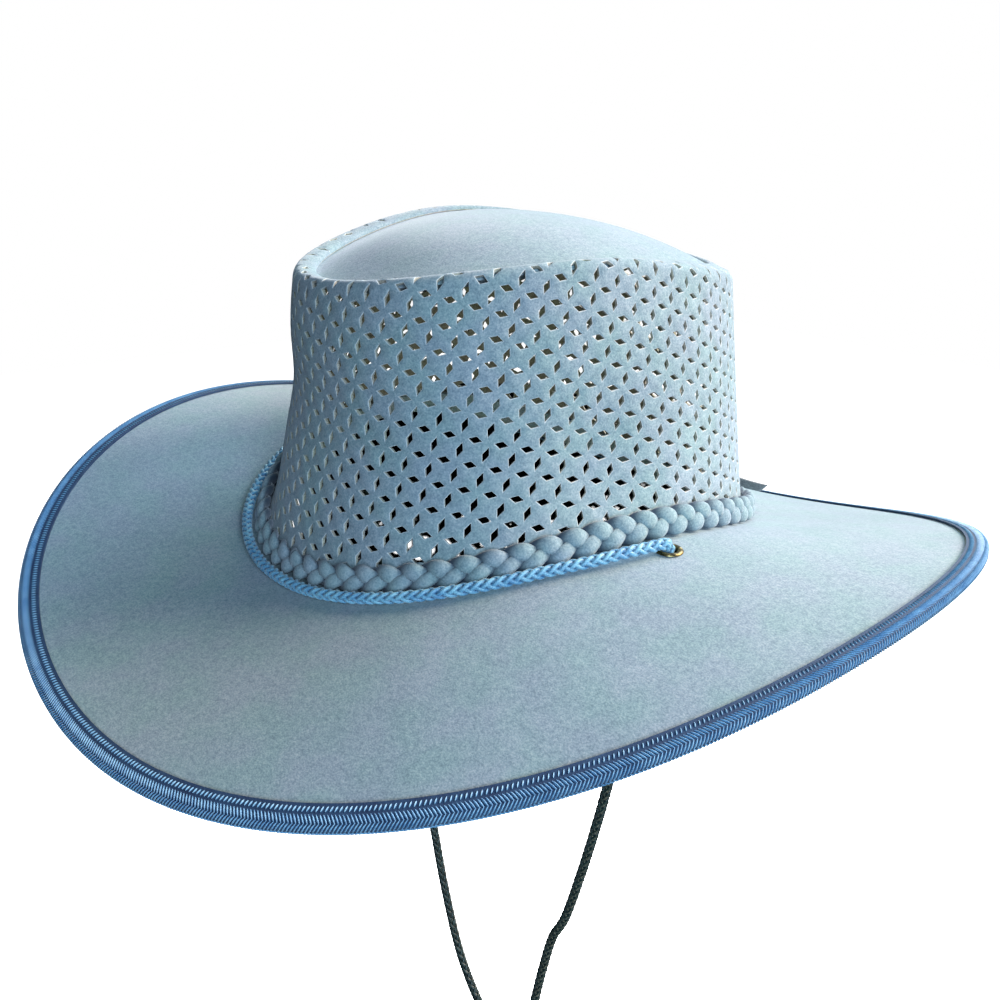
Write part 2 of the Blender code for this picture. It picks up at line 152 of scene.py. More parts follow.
def lipHeight(angle, inset):
    middle = Vector((0, crownSizes["backShift"], 0))
    share = (rimOval(angle, inset) - middle).length / (rimOval(angle, 0) - middle).length
    return topHeight(angle, share) - lipFall(angle, inset)


def lipFall(angle, inset):  # the near lip falls inwards from its fold, and the top rises again from its edge
    depth = crownSizes["lipFall"] * (0.5 + 0.5 * cos(radians(angle - crownSizes["lipTurn"]))) ** 1.5
    past = inset - crownSizes["foldRadius"] - crownSizes["lipWidth"]
    if past > 0:
        return depth * exp(-(past / crownSizes["topRise"]) ** 2)
    share = min(1, 1 + past / crownSizes["lipWidth"])
    return depth * max(share, 0) ** 1.3


def dentAt(angle, share):
    total = 0
    for where, level, around, upwards, depth in dents:
        turn = (angle - where + 180) % 360 - 180
        total += depth * crownSizes["height"] * exp(-(turn / around) ** 2 - ((share - level) / upwards) ** 2)
    return total * min(1, max(share, 0) / 0.15)


def wallPoint(angle, share):  # outer face: share 0 at the foot, 1 where the fold starts
    flare = crownSizes["flare"] + crownSizes["frontFlare"] * cos(radians(angle))
    sweep = share + flare * 2 * share * (1 - share) ** 2
    point = headOval(angle, wallOut).lerp(rimOval(angle, 0), sweep)
    outwards = Vector((sin(radians(angle)), -cos(radians(angle)), 0))
    point -= outwards * dentAt(angle, share)
    low = lineHeight(junctionLine, angle) + crownSizes["lift"]
    high = topHeight(angle, 1) - crownSizes["foldRadius"]
    point.z = low + (high - low) * share
    return point


def wallNormal(angle, share):
    across = wallPoint(angle + 1, share) - wallPoint(angle - 1, share)
    upwards = wallPoint(angle, share + 0.01) - wallPoint(angle, share - 0.01)
    return across.cross(upwards).normalized()


def wallSheet(angle, up):  # up in metres from the wall's middle, over the fold and on to the lip
    radius = crownSizes["foldRadius"]
    over = up - crownSizes["height"] / 2
    if over <= 0:
        return wallPoint(angle, up / crownSizes["height"] + 0.5)
    turn = min(over / radius, pi / 2)
    inset = radius * (1 - cos(turn)) + max(0, over - radius * pi / 2)
    point = rimOval(angle, inset)
    if turn < pi / 2:
        start = topHeight(angle, 1) - radius
        point.z = start + (radius + lipHeight(angle, radius) - lineHeight(rimLine, angle)) * sin(turn)
    else:
        point.z = lipHeight(angle, inset)
    return point


# A surface measured once, that flat patterns are then bent on to: x runs round the hat in metres from
# the front, y across the surface, z out of it
class Guide:
    def __init__(self, place, low, high, rows, columns=720):
        self.low, self.high, self.rows, self.columns = low, high, rows, columns
        ys = np.linspace(low, high, rows)
        grid = np.array([[place(i * 360 / columns, y)[:] for y in ys] for i in range(columns)])
        around = np.roll(grid, -1, 0) - np.roll(grid, 1, 0)
        out = np.cross(around, np.gradient(grid, axis=1))
        out /= np.linalg.norm(out, axis=2, keepdims=True)
        self.place = np.concatenate([grid, grid[:1]])
        self.out = np.concatenate([out, out[:1]])
        steps = np.linalg.norm(np.diff(self.place[:, rows // 2], axis=0), axis=1)
        self.arc = np.concatenate([[0], np.cumsum(steps)])
        self.girth = float(self.arc[-1])

    def bend(self, flat):
        column = np.interp(np.mod(flat[:, 0], self.girth), self.arc, np.arange(self.columns + 1))
        row = np.clip((flat[:, 1] - self.low) / (self.high - self.low), 0, 1) * (self.rows - 1)
        i = np.minimum(column.astype(int), self.columns - 1)
        j = np.minimum(row.astype(int), self.rows - 2)
        f, g = (column - i)[:, None], (row - j)[:, None]
        both = []
        for table in (self.place, self.out):
            near = table[i, j] * (1 - g) + table[i, j + 1] * g
            far = table[i + 1, j] * (1 - g) + table[i + 1, j + 1] * g
            both.append(near * (1 - f) + far * f)
        spot, out = both
        return spot + out / np.linalg.norm(out, axis=1, keepdims=True) * flat[:, 2:3]


def coordsOf(mesh):
    co = np.empty(len(mesh.vertices) * 3, np.float32)
    mesh.vertices.foreach_get("co", co)
    return co.reshape(-1, 3).astype(float)


def setCoords(mesh, co):
    mesh.vertices.foreach_set("co", np.asarray(co, np.float32).ravel())
    mesh.update()


# The mask below sets painted shade: the deeper a point lies between the strands, the darker its colour is made.
def markHollowShade(mesh, depths):  # how deep each point lies between the strands, 0 to 1
    mask = mesh.attributes.new("hollowShade", "FLOAT", "POINT")
    mask.data.foreach_set("value", np.clip(depths, 0, 1).astype(np.float32))


def toMesh(bm, mesh):  # mesh: a name for a new one, or one to fill again
    if isinstance(mesh, str):
        mesh = bpy.data.meshes.new(mesh)
    bm.to_mesh(mesh)
    bm.free()
    return mesh


def fromMesh(mesh):
    bm = bmesh.new()
    bm.from_mesh(mesh)
    return bm


def weld(mesh, distance=0.00002):
    bm = fromMesh(mesh)
    bmesh.ops.remove_doubles(bm, verts=bm.verts, dist=distance)
    toMesh(bm, mesh)


def addObject(name, data):
    made = bpy.data.objects.new(name, data)
    bpy.context.scene.collection.objects.link(made)
    return made


def baked(thing):  # modifiers turned into plain mesh
    bpy.context.view_layer.update()
    graph = bpy.context.evaluated_depsgraph_get()
    mesh = bpy.data.meshes.new_from_object(thing.evaluated_get(graph))
    thing.modifiers.clear()
    thing.data = mesh
    return thing


def smooth(mesh, sharpAngle=40):
    mesh.shade_smooth()
    mesh.set_sharp_from_angle(angle=radians(sharpAngle))


def ringSheet(name, stations, rows, place, pole=False):  # rows run so that the good side faces out or up
    points = [place(i * 360 / stations, j) for j in range(rows - pole) for i in range(stations)]
    faces = []
    for j in range(rows - 1 - pole):
        for i in range(stations):
            k = (i + 1) % stations
            faces.append((j * stations + i, j * stations + k, (j + 1) * stations + k, (j + 1) * stations + i))
    if pole:
        last = (rows - 2) * stations
        points.append(place(0, rows - 1))
        faces += [(last + i, last + (i + 1) % stations, len(points) - 1) for i in range(stations)]
    mesh = bpy.data.meshes.new(name)
    mesh.from_pydata([p[:] for p in points], [], faces)
    mesh.shade_smooth()
    return addObject(name, mesh)


def thicken(thing, thickness, *others):  # others: finishes of the cut edges and of the inside
    for finish in others:
        thing.data.materials.append(finish)
    wall = thing.modifiers.new("thickness", "SOLIDIFY")
    wall.material_offset_rim, wall.material_offset = min(1, len(others)), len(others)
    wall.thickness = thickness
    wall.offset = -1
    wall.use_even_offset = True


def cutOut(thing, cutter):
    hole = thing.modifiers.new("hole", "BOOLEAN")
    hole.operation, hole.solver, hole.object = "DIFFERENCE", "EXACT", cutter


def finishPiece(thing, finish, slot, *nodes):
    if finish:
        thing.data.materials.clear()
        thing.data.materials.append(finish)
    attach(thing, "root")
    if nodes:
        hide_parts(*nodes)
    print("  piece", thing.name, len(thing.data.polygons), "faces")


# Node trees: inputs are given as numbers or as other nodes, by socket name or place
def feed(tree, socket, value):
    if isinstance(value, bpy.types.Node):
        value = value.outputs[0]
    if isinstance(value, bpy.types.NodeSocket):
        tree.links.new(value, socket)
    else:
        socket.default_value = value


def add(tree, kind, inputs=None, **settings):
    node = tree.nodes.new(kind)
    for key, value in settings.items():
        setattr(node, key, value)
    for key, value in (inputs or {}).items():
        feed(tree, node.inputs[key], value)
    return node


def geo(tree, kind, inputs=None, **settings):
    return add(tree, "GeometryNode" + kind, inputs, **settings)


def calc(tree, operation, a, b=0.0):
    return add(tree, "ShaderNodeMath", {0: a, 1: b}, operation=operation)


def times(tree, a, b):
    return calc(tree, "MULTIPLY", a, b)


def plus(tree, a, b):
    return calc(tree, "ADD", a, b)


def minus(tree, a, b):
    return calc(tree, "SUBTRACT", a, b)


def ratio(tree, a, b):
    return calc(tree, "DIVIDE", a, b)


def vector(tree, x=0.0, y=0.0, z=0.0):
    return add(tree, "ShaderNodeCombineXYZ", {0: x, 1: y, 2: z})


def placed(tree, shape, **how):
    return geo(tree, "Transform", {"Geometry": shape, **how})


def joinAll(tree, parts):
    whole = geo(tree, "JoinGeometry")
    for part in parts:
        tree.links.new(part.outputs[0], whole.inputs[0])
    return whole


def strandLines(tree, length, count, amount):  # straight lines along X, one for each strand
    line = geo(tree, "CurvePrimitiveLine", {"Start": (0, 0, 0), "End": vector(tree, length)})
    line = geo(tree, "ResampleCurve", {"Curve": line, "Count": count})
    return geo(tree, "DuplicateElements", {"Geometry": line, "Amount": amount}, domain="SPLINE")


def spotOf(tree):  # the sockets x, y and z of the point worked on
    return add(tree, "ShaderNodeSeparateXYZ", {0: geo(tree, "InputPosition")}).outputs


class Pattern:  # a geometry tree with named sizes, turned into a plain flat mesh
    def __init__(self, name, sizes):
        self.name, self.sizes, self.ids = name, sizes, {}
        self.tree = bpy.data.node_groups.new(name, "GeometryNodeTree")
        sockets = self.tree.interface
        sockets.new_socket("Geometry", in_out="INPUT", socket_type="NodeSocketGeometry")
        for label, value in sizes.items():
            kind = "NodeSocketInt" if isinstance(value, int) else "NodeSocketFloat"
            self.ids[label] = sockets.new_socket(label, in_out="INPUT", socket_type=kind).identifier
        self.finishId = sockets.new_socket("Finish", in_out="INPUT", socket_type="NodeSocketMaterial").identifier
        sockets.new_socket("Geometry", in_out="OUTPUT", socket_type="NodeSocketGeometry")
        self.given = self.tree.nodes.new("NodeGroupInput").outputs

    def close(self, shape):
        real = geo(self.tree, "RealizeInstances", {0: shape})
        dressed = geo(self.tree, "SetMaterial", {"Geometry": real, "Material": self.given["Finish"]})
        add(self.tree, "NodeGroupOutput", {0: dressed})

    def grow(self, finish):
        carrier = addObject(self.name, bpy.data.meshes.new(self.name))
        live = carrier.modifiers.new("pattern", "NODES")
        live.node_group = self.tree
        for label, value in self.sizes.items():
            live[self.ids[label]] = value
        live[self.finishId] = finish
        baked(carrier)
        mesh = carrier.data
        bpy.data.objects.remove(carrier)
        return mesh


print("camera")

cameraSizes = {"azimuth": 51.5, "elevation": 18.4, "roll": 0.6, "distance": 0.4848, "focalPixels": 1156,
               "target": (-0.0004, -0.0030, -0.0011)}


def directionOf(azimuth, elevation):
    turn, rise = radians(azimuth), radians(elevation)
    return Vector((sin(turn) * cos(rise), -cos(turn) * cos(rise), sin(rise)))


def makeCamera(c):
    turn, roll = radians(c["azimuth"]), radians(c["roll"])
    back = directionOf(c["azimuth"], c["elevation"])
    right = Vector((cos(turn), sin(turn), 0))
    up = back.cross(right)
    right, up = right * cos(roll) + up * sin(roll), up * cos(roll) - right * sin(roll)
    lens = bpy.data.cameras.new("camera")
    lens.sensor_width = 36
    lens.lens = c["focalPixels"] * 36 / 1000
    lens.clip_start, lens.clip_end = 0.01, 50
    camera = addObject("camera", lens)
    camera.matrix_world = Matrix((right, up, back)).transposed().to_4x4()
    camera.matrix_world.translation = Vector(c["target"]) + back * c["distance"]
    bpy.context.scene.camera = camera


makeCamera(cameraSizes)

print("cord routes")

cordSizes = {"diameter": 0.0046, "drop": 0.0060, "chinDrop": 0.2640, "chinLength": 0.593, "points": 42}
eyeletSizes = {"angle": 83.7, "outset": 0.0042, "bore": 0.0058, "flange": 0.0102, "metal": 0.0005, "dome": 0.0007}
bandSizes = {"height": 0.0115, "depth": 0.0050, "middle": 0.46}
# The loop's way round from the left eyelet to the right: share across, share of the drop
chinWay = [
    (0.900, 0.130), (0.766, 0.356), (0.693, 0.467), (0.629, 0.554), (0.550, 0.649), (0.476, 0.706),
    (0.410, 0.800), (0.360, 0.880), (0.285, 0.955), (0.160, 0.997), (0.030, 0.990), (-0.095, 0.946),
    (-0.200, 0.882), (-0.304, 0.776), (-0.372, 0.687), (-0.550, 0.455), (-0.735, 0.240), (-0.900, 0.060),
]
cordRadius = cordSizes["diameter"] / 2


def eyeletPlace(side):  # point on the brim's upper face and a matrix with Z along the bore
    angle = side * eyeletSizes["angle"]
    outset = bandSizes["depth"] + 2 * clearance + cordRadius + eyeletSizes["outset"]
    here, around, outwards, up = brimFrame(angle, outset / brimWidth(angle))
    turn = Matrix((outwards, up.cross(outwards), up)).transposed().to_4x4()
    return here, Matrix.Translation(here) @ turn


def frontCordRoute():  # up through the right eyelet, round the front and down through the left one
    rest = cordRadius + clearance * 1.5
    over = cordRadius + eyeletSizes["dome"] + clearance * 2
    beside = bandSizes["depth"] + clearance + cordRadius + clearance
    ends = []
    for side in (-1, 1):
        here, place = eyeletPlace(side)
        up = place.to_3x3() @ Vector((0, 0, 1))
        forwards = (brimFrame(side * eyeletSizes["angle"], 0.1)[1] * -side).normalized()
        forwards = (forwards - up * forwards.dot(up)).normalized()
        points = [here - up * cordSizes["drop"], here - up * cordSizes["drop"] * 0.5]
        for degrees in (0, 25, 50, 75):
            turn = radians(degrees)
            points.append(here + forwards * over * (1 - cos(turn)) + up * over * sin(turn))
        ends.append(points)
    middle = []
    first = eyeletSizes["angle"] - 10
    for i in range(27):
        angle = -first + 2 * first * i / 26
        blend = max(0, (abs(angle) - first + 14) / 14)
        outset = beside + (eyeletSizes["outset"] - clearance) * blend * 0.75
        here, around, outwards, up = brimFrame(angle, outset / brimWidth(angle))
        middle.append(here + up * (rest + (over - rest) * blend ** 2))
    return ends[0] + middle + ends[1][::-1]


def smoothRoute(points, count):  # points along one smooth curve through a route's own points
    last = len(points) - 1
    route = []
    for i in range(count + 1):
        t = i / count * last
        k = min(int(t), last - 1)
        f = t - k
        p0, p1, p2, p3 = (points[min(max(n, 0), last)] for n in (k - 1, k, k + 1, k + 2))
        route.append(0.5 * (2 * p1 + (p2 - p0) * f + (2 * p0 - 5 * p1 + 4 * p2 - p3) * f ** 2
                            + (3 * p1 - p0 - 3 * p2 + p3) * f ** 3))
    return route


def chinCordRoute():  # down from the left eyelet, under the chin and up to the right eyelet
    ends = []
    for side in (1, -1):
        here, place = eyeletPlace(side)
        up = place.to_3x3() @ Vector((0, 0, 1))
        end = here - up * (cordSizes["drop"] + clearance)
        ends.append([end, end - up * cordSizes["diameter"]])
    left, right = ends
    reach, plane = (left[0].x - right[0].x) / 2, (left[0].y + right[0].y) / 2
    way = [Vector((reach * across, plane, -cordSizes["chinDrop"] * down)) for across, down in chinWay]
    return left[:1] + smoothRoute(left[1:] + way + right[1:], cordSizes["points"]) + right[:1]


def routeLength(route):
    return sum((b - a).length for a, b in zip(route, route[1:]))


class Route:  # a line that straight patterns are bent along: x along it, y and z about it
    def __init__(self, points, steps=600):
        fine = np.array([p[:] for p in smoothRoute(points, steps)])
        along = np.gradient(fine, axis=0)
        along /= np.linalg.norm(along, axis=1, keepdims=True)
        side = np.cross(along[0], [0, 1, 0.3])
        sides = []
        for t in along:  # carried along without twist
            side = side - t * side.dot(t)
            side /= np.linalg.norm(side)
            sides.append(side)
        self.place, self.side = fine, np.array(sides)
        self.other = np.cross(along, self.side)
        self.arc = np.concatenate([[0], np.cumsum(np.linalg.norm(np.diff(fine, axis=0), axis=1))])
        self.length = float(self.arc[-1])

    def bend(self, flat):
        x = np.clip(flat[:, 0], 0, self.length)
        place, side, other = (
            np.stack([np.interp(x, self.arc, table[:, k]) for k in range(3)], 1)
            for table in (self.place, self.side, self.other)
        )
        return place + side * flat[:, 1:2] + other * flat[:, 2:3]


chinRoute = chinCordRoute()
print("  chin cord length", round(routeLength(chinRoute), 4))

print("finishes")


def objectPlace(tree):
    return add(tree, "ShaderNodeTexCoord").outputs["Object"]


def marked(tree, name):  # a mask that the mesh carries
    return add(tree, "ShaderNodeAttribute", attribute_name=name).outputs["Fac"]


def bumped(tree, shader, height, distance, strength):
    bump = add(tree, "ShaderNodeBump", {"Height": height, "Distance": distance, "Strength": strength})
    tree.links.new(bump.outputs["Normal"], shader.inputs["Normal"])


def setLook(shader, **values):
    for label, value in values.items():
        shader.inputs[label.replace("_", " ")].default_value = value


def newFinish(name):
    made = bpy.data.materials.new(name)
    made.use_nodes = True
    tree = made.node_tree
    return made, tree, tree.nodes["Principled BSDF"]


def ramp(tree, value, stops):
    node = add(tree, "ShaderNodeValToRGB", {0: value})
    while len(node.color_ramp.elements) < len(stops):
        node.color_ramp.elements.new(0.5)
    for element, (place, colour) in zip(node.color_ramp.elements, stops):
        element.position, element.color = place, (*colour, 1)
    return node


def noise(tree, where, scale, detail=2.0, roughness=0.5):
    inputs = {"Vector": where, "Scale": scale, "Detail": detail, "Roughness": roughness}
    return add(tree, "ShaderNodeTexNoise", inputs).outputs["Fac"]


def mixed(tree, share, a, b, way="MIX"):
    node = add(tree, "ShaderNodeMix", data_type="RGBA", blend_type=way)
    for key, value in ((0, share), (6, a), (7, b)):
        feed(tree, node.inputs[key], (*value, 1) if isinstance(value, tuple) else value)
    return node.outputs[2]


suedeLook = {"dark": (0.150, 0.220, 0.262), "middle": (0.238, 0.328, 0.372), "light": (0.350, 0.440, 0.470),
             "sheen": 0.35, "nap": 0.00035,
             "napScale": 1500, "mottleScale": 520, "cloudScale": 26, "toneScale": 60}


def tinted(dark, middle, light):
    return {**suedeLook, "dark": dark, "middle": middle, "light": light}


def suedeFinish(name, look, paleEdgeAndHighlight=None, hollowShade=None):
    made, tree, shader = newFinish(name)
    where = objectPlace(tree)
    nap = noise(tree, where, look["napScale"], 3, 0.65)
    mottle = noise(tree, where, look["mottleScale"], 3, 0.6)
    cloud = noise(tree, where, look["cloudScale"], 3, 0.55)
    mix = plus(tree, times(tree, nap, 0.60), times(tree, mottle, 0.28))
    mix = plus(tree, mix, times(tree, cloud, 0.12))
    colour = ramp(tree, mix, [(0.36, look["dark"]), (0.50, look["middle"]), (0.64, look["light"])])
    tone = noise(tree, where, look["toneScale"], 2)
    lilac = ramp(tree, tone, [(0.35, (0.94, 1.0, 0.97)), (0.65, (1.04, 0.98, 1.03))])
    colour = mixed(tree, 1.0, colour, lilac, "MULTIPLY")
    if paleEdgeAndHighlight:  # cut edges are coloured pale: partly the hide's raw inside, partly a painted highlight where the rims catch light
        colour = mixed(tree, marked(tree, "cutEdge"), colour, paleEdgeAndHighlight)
    if hollowShade:  # painted shade: points deep between the strands are coloured darker
        colour = mixed(tree, marked(tree, "hollowShade"), colour, hollowShade)
    tree.links.new(colour, shader.inputs["Base Color"])
    setLook(shader, Roughness=0.92, Specular_IOR_Level=0.25, Sheen_Weight=look["sheen"], Sheen_Roughness=0.45,
            Sheen_Tint=(0.85, 0.90, 1.0, 1))
    bumped(tree, shader, mix, look["nap"], 0.5)
    return made


def threadFinish(name, dark, light, grain, roughness, sheen, hollowShade=None):
    made, tree, shader = newFinish(name)
    where = objectPlace(tree)
    fibre = noise(tree, where, grain, 2, 0.6)
    patch = noise(tree, where, grain / 14, 2)
    mix = plus(tree, times(tree, fibre, 0.6), times(tree, patch, 0.4))
    colour = ramp(tree, mix, [(0.36, dark), (0.64, light)]).outputs[0]
    # painted shade: points deep between the strands are coloured darker
    if hollowShade:
        colour = mixed(tree, marked(tree, "hollowShade"), colour, hollowShade)
    tree.links.new(colour, shader.inputs["Base Color"])
    setLook(shader, Roughness=roughness, Sheen_Weight=sheen, Sheen_Roughness=0.4)
    bumped(tree, shader, fibre, 0.0002, 0.4)
    return made


def brassFinish(name):
    made, tree, shader = newFinish(name)
    where = objectPlace(tree)
    tarnish = noise(tree, where, 700, 3, 0.6)
    stops = [(0.35, (0.045, 0.040, 0.022)), (0.55, (0.22, 0.17, 0.07)), (0.70, (0.55, 0.44, 0.20))]
    colour = ramp(tree, tarnish, stops)
    tree.links.new(colour.outputs[0], shader.inputs["Base Color"])
    rough = add(tree, "ShaderNodeMapRange", {"Value": tarnish, "To Min": 0.25, "To Max": 0.55})
    tree.links.new(rough.outputs[0], shader.inputs["Roughness"])
    setLook(shader, Metallic=1)
    bumped(tree, shader, tarnish, 0.0001, 0.3)
    return made


# The pale rim colour is partly the raw hide and partly a painted highlight on the hole edges.
wallSuede = suedeFinish("pierced suede", suedeLook, paleEdgeAndHighlight=(0.62, 0.66, 0.68))
brimSuede = suedeFinish("brim suede", suedeLook)
cutSuede = suedeFinish("cut suede", tinted((0.24, 0.24, 0.20), (0.36, 0.36, 0.30), (0.48, 0.48, 0.41)))
fleshSuede = suedeFinish("flesh side", tinted((0.16, 0.15, 0.12), (0.24, 0.23, 0.18), (0.33, 0.32, 0.26)))
# The hollow colour of the plait is painted shade for the gaps between its thongs.
plaitSuede = suedeFinish("plait suede", suedeLook, hollowShade=(0.035, 0.055, 0.085))
# The thong end gets a darker copy of the band's suede: painted shade.
shadedTailSuede = suedeFinish("thong suede", tinted((0.09, 0.095, 0.10), (0.15, 0.16, 0.17), (0.22, 0.23, 0.24)))
ribbonBase = threadFinish("ribbon ground", (0.007, 0.026, 0.080), (0.020, 0.065, 0.150), 2200, 0.75, 0.1)
ribbonRib = threadFinish("ribbon rib", (0.055, 0.190, 0.400), (0.200, 0.420, 0.640), 2600, 0.55, 0.3)
stitchThread = threadFinish("stitch thread", (0.090, 0.240, 0.410), (0.220, 0.430, 0.610), 3000, 0.5, 0.3)
# The hollow colours of the cords are painted shade for the gaps between their strands.
brightCord = threadFinish("bright cord", (0.060, 0.230, 0.460), (0.290, 0.600, 0.740), 2400, 0.42, 0.35,
                          hollowShade=(0.010, 0.055, 0.165))
darkCord = threadFinish("dark cord", (0.002, 0.009, 0.009), (0.014, 0.042, 0.042), 2400, 0.42, 0.2,
                        hollowShade=(0.002, 0.006, 0.007))
# The core is near black: painted shade seen through the gaps of the hollow braid.
gapShadeCore = threadFinish("cord core", (0.003, 0.010, 0.014), (0.008, 0.022, 0.030), 1500, 0.9, 0.0)
agedBrass = brassFinish("aged brass")

print("crown")

# Diamonds on a square lattice turned a little: some stand at its corners, some lie at its centres. The
# panel was cut on a curve, so its rows sag towards the wearer's left front
piercing = {
    "Pitch": 0.00901, "Stretch": 1.023, "Turn": radians(-9.4), "Hole length": 0.0052, "Hole width": 0.00258,
    "Rounding": 0.00030, "Shift round": 0.0569, "Shift up": 0.0110, "Columns": 101, "Cuts": 139,
    "Sag": 0.0091, "Sag middle": 0.0783, "Sag reach": 0.0391,
}
crownGuide = Guide(wallSheet, -crownSizes["height"] / 2,
                   crownSizes["height"] / 2 + crownSizes["foldRadius"] * pi / 2 + crownSizes["lipWidth"], 150)


def piercedSheet():  # flat: x round the wall, y up it
    sizes = {**piercing, "Girth": crownGuide.girth, "Bottom": crownGuide.low, "Top": crownGuide.high}
    pattern = Pattern("piercedSheet", sizes)
    tree, given = pattern.tree, pattern.given
    half = {key: times(tree, given[key], 0.5) for key in ("Girth", "Hole length", "Hole width")}
    long, short = half["Hole length"], half["Hole width"]
    side = calc(tree, "SQRT", plus(tree, times(tree, long, long), times(tree, short, short)))
    grow = ratio(tree, times(tree, given["Rounding"], side), times(tree, long, short))
    grow = plus(tree, grow, 1)  # the rounded rim is a little larger than the hole
    size = vector(tree, times(tree, long, grow), times(tree, short, grow))
    outline = geo(tree, "CurvePrimitiveCircle", {"Resolution": 4, "Radius": 1.0})
    outline = placed(tree, outline, Scale=size)
    plate = geo(tree, "MeshCircle", {"Vertices": 4, "Radius": 1.0}, fill_type="NGON")
    plate = placed(tree, plate, Scale=size)
    rim = geo(tree, "ExtrudeMesh", {"Mesh": plate, "Offset Scale": 0.0, "Individual": False})
    inner = geo(tree, "ScaleElements", {
        "Geometry": rim.outputs["Mesh"], "Selection": rim.outputs["Top"], "Scale": ratio(tree, 1, grow)})
    rim = geo(tree, "DeleteGeometry", {"Geometry": inner, "Selection": rim.outputs["Top"]}, domain="FACE")

    span = times(tree, given["Pitch"], minus(tree, given["Columns"], 1))
    spot = spotOf(tree)
    middle = times(tree, plus(tree, given["Top"], given["Bottom"]), 0.5)
    tall = minus(tree, given["Top"], given["Bottom"])
    wide = minus(tree, calc(tree, "ABSOLUTE", spot[0]), half["Girth"])
    high = calc(tree, "ABSOLUTE", minus(tree, spot[1], middle))
    high = minus(tree, high, times(tree, tall, 0.5))
    outside = calc(tree, "MAXIMUM", wide, high)
    outside = plus(tree, outside, times(tree, long, 1.25))
    outside = calc(tree, "GREATER_THAN", outside, 0)
    curves, rims = [], []
    for upright in (False, True):
        grid = geo(tree, "MeshGrid", {"Size X": span, "Size Y": span, "Vertices X": given["Columns"],
                                                  "Vertices Y": given["Columns"]})
        step = times(tree, given["Pitch"], 0.0 if upright else 0.5)
        lattice = placed(tree, grid.outputs["Mesh"], Translation=vector(tree, step, step))
        lattice = placed(tree, lattice, Scale=vector(tree, given["Stretch"], 1.0, 1.0))
        lattice = placed(tree, lattice, Rotation=vector(tree, z=given["Turn"]),
                         Translation=vector(tree, given["Shift round"], given["Shift up"]))
        along = ratio(tree, minus(tree, spot[0], given["Sag middle"]), given["Sag reach"])
        along = calc(tree, "TANH", along)
        drop = times(tree, times(tree, along, given["Sag"]), -1)
        sagged = geo(tree, "SetPosition", {"Geometry": lattice, "Offset": vector(tree, y=drop)})
        kept = geo(tree, "DeleteGeometry", {"Geometry": sagged, "Selection": outside})
        slope = minus(tree, 1, times(tree, along, along))
        slope = times(tree, slope, ratio(tree, given["Sag"], given["Sag reach"]))
        lean = minus(tree, given["Turn"], calc(tree, "ARCTANGENT", slope))
        lean = plus(tree, lean, pi / 2 if upright else 0.0)
        for shape, made in ((outline, curves), (rim, rims)):
            made.append(geo(tree, "InstanceOnPoints", {
                "Points": kept, "Instance": shape, "Rotation": vector(tree, z=lean)}))
    border = geo(tree, "CurvePrimitiveQuadrilateral", {"Width": given["Girth"], "Height": tall})
    border = placed(tree, border, Translation=vector(tree, y=middle))
    border = geo(tree, "SubdivideCurve", {"Curve": border, "Cuts": given["Cuts"]})
    outlines = joinAll(tree, [border, *curves])
    sheet = geo(tree, "FillCurve", {0: geo(tree, "RealizeInstances", {0: outlines})})
    pattern.close(joinAll(tree, [sheet, *rims]))
    return pattern.grow(wallSuede)


def makeCrownWall():
    mesh = piercedSheet()
    bm = fromMesh(mesh)
    bmesh.ops.remove_doubles(bm, verts=bm.verts, dist=0.000005)
    for face in bm.faces:
        if face.normal.z < 0:
            face.normal_flip()
    fold = crownSizes["height"] / 2
    levels = [fold + crownSizes["foldRadius"] * pi / 2 * k / 7 for k in range(8)]
    levels += list(np.arange(crownGuide.low + 0.005, fold, 0.005))
    levels += [levels[7] + 0.003, crownGuide.high - 0.0009, crownGuide.high - 0.0004]
    for level in levels:
        bmesh.ops.bisect_plane(bm, geom=bm.verts[:] + bm.edges[:] + bm.faces[:], plane_co=(0, level, 0),
                               plane_no=(0, 1, 0), dist=0.000002)
    bmesh.ops.triangulate(bm, faces=[f for f in bm.faces if len(f.verts) > 4])
    cutEdge = bm.verts.layers.float.new("cutEdge")
    half = crownGuide.girth / 2 - 0.00001
    for edge in bm.edges:
        if edge.is_boundary:
            for v in edge.verts:
                if abs(v.co.x) < half and crownGuide.low + 0.0001 < v.co.y < crownGuide.high - 0.0001:
                    v[cutEdge] = 1
    wall = addObject("crownWall", toMesh(bm, mesh))
    thicken(wall, sheets["wall"], cutSuede, fleshSuede)
    baked(wall)
    mesh = wall.data
    bm = fromMesh(mesh)
    walls = [f for f in bm.faces if all(abs(v.co.x) > half for v in f.verts)]
    bmesh.ops.delete(bm, geom=walls, context="FACES")
    co = coordsOf(toMesh(bm, mesh))
    edge = np.zeros(len(co), np.float32)
    mesh.attributes["cutEdge"].data.foreach_get("value", edge)
    outer = co[:, 2] > -0.0001
    co[:, 2] -= np.where((edge > 0.5) & outer, piercing["Rounding"] * 0.75, 0)
    co[:, 2] += np.where((edge > 0.5) & ~outer, piercing["Rounding"] * 0.5, 0)
    lipEdge = np.clip((co[:, 1] - crownGuide.high) / 0.0009 + 1, 0, 1)
    co[:, 2] -= np.where(outer, sheets["wall"] * 0.8 * lipEdge ** 2, 0)
    setCoords(mesh, crownGuide.bend(co))
    weld(mesh)
    smooth(wall.data, 50)
    finishPiece(wall, None, "suede", "crown_wall")


